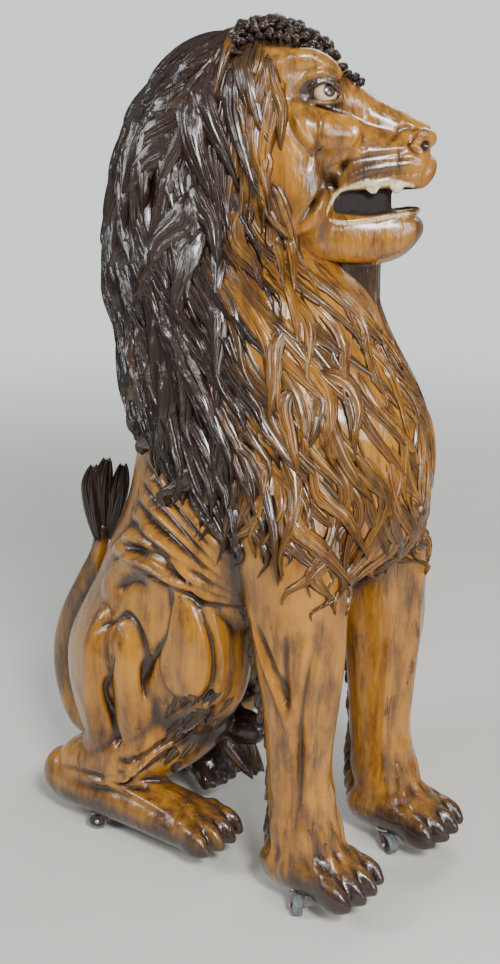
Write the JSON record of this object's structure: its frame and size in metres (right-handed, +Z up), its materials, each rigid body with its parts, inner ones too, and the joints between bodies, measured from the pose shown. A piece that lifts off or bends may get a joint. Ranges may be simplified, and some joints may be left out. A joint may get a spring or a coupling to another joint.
{
  "type": "seated lion sculpture on casters",
  "caption": "Carved and varnished wooden lion, seated with its head turned and mouth open, on small swivel casters.",
  "frame": {"origin": "on the floor, under the middle of the part's box", "axes": "+X the way the chest faces, +Y towards the lion's left side, +Z up"},
  "size_m": [0.9208, 0.4504, 1.568],
  "materials": {
    "varnished_wood": "glossy old varnish, dark in the hollows",
    "zinc_steel": "dull zinc plating",
    "dark_steel": "dark worn paint",
    "black_plastic": "matte",
    "grey_rubber": "matte"
  },
  "bodies": {
    "carving": {"lion": "varnished_wood", "plate_near_front": "zinc_steel", "plate_far_front": "zinc_steel", "plate_near_rear": "zinc_steel", "plate_far_rear": "zinc_steel"},
    "fork_near_front": {"fork_near_front": "dark_steel", "axle_near_front": "zinc_steel"},
    "wheel_near_front": {"hub_near_front": "black_plastic", "tread_near_front": "grey_rubber"},
    "fork_far_front": {"fork_far_front": "dark_steel", "axle_far_front": "zinc_steel"},
    "wheel_far_front": {"hub_far_front": "black_plastic", "tread_far_front": "grey_rubber"},
    "fork_near_rear": {"fork_near_rear": "dark_steel", "axle_near_rear": "zinc_steel"},
    "wheel_near_rear": {"hub_near_rear": "black_plastic", "tread_near_rear": "grey_rubber"},
    "fork_far_rear": {"fork_far_rear": "dark_steel", "axle_far_rear": "zinc_steel"},
    "wheel_far_rear": {"hub_far_rear": "black_plastic", "tread_far_rear": "grey_rubber"}
  },
  "joints": [
    {"name": "swivel_near_front", "type": "hinge", "parent": "carving", "child": "fork_near_front", "pos_m": [0.30763, -0.17542, 0.043], "axis": [0, 0, 1], "continuous": true},
    {"name": "spin_near_front", "type": "hinge", "parent": "fork_near_front", "child": "wheel_near_front", "pos_m": [0.31952, -0.1915, 0.02], "axis": [0.8039, 0.5948, 0], "continuous": true},
    {"name": "swivel_far_front", "type": "hinge", "parent": "carving", "child": "fork_far_front", "pos_m": [0.33063, 0.09557, 0.043], "axis": [0, 0, 1], "continuous": true},
    {"name": "spin_far_front", "type": "hinge", "parent": "fork_far_front", "child": "wheel_far_front", "pos_m": [0.3482, 0.08603, 0.02], "axis": [0.4772, 0.8788, 0], "continuous": true},
    {"name": "swivel_near_rear", "type": "hinge", "parent": "carving", "child": "fork_near_rear", "pos_m": [-0.16137, -0.17242, 0.043], "axis": [0, 0, 1], "continuous": true},
    {"name": "spin_near_rear", "type": "hinge", "parent": "fork_near_rear", "child": "wheel_near_rear", "pos_m": [-0.17745, -0.18432, 0.02], "axis": [0.5948, -0.8039, 0], "continuous": true},
    {"name": "swivel_far_rear", "type": "hinge", "parent": "carving", "child": "fork_far_rear", "pos_m": [-0.16937, 0.09957, 0.043], "axis": [0, 0, 1], "continuous": true},
    {"name": "spin_far_rear", "type": "hinge", "parent": "fork_far_rear", "child": "wheel_far_rear", "pos_m": [-0.18817, 0.10641, 0.02], "axis": [-0.342, -0.9397, 0], "continuous": true}
  ]
}
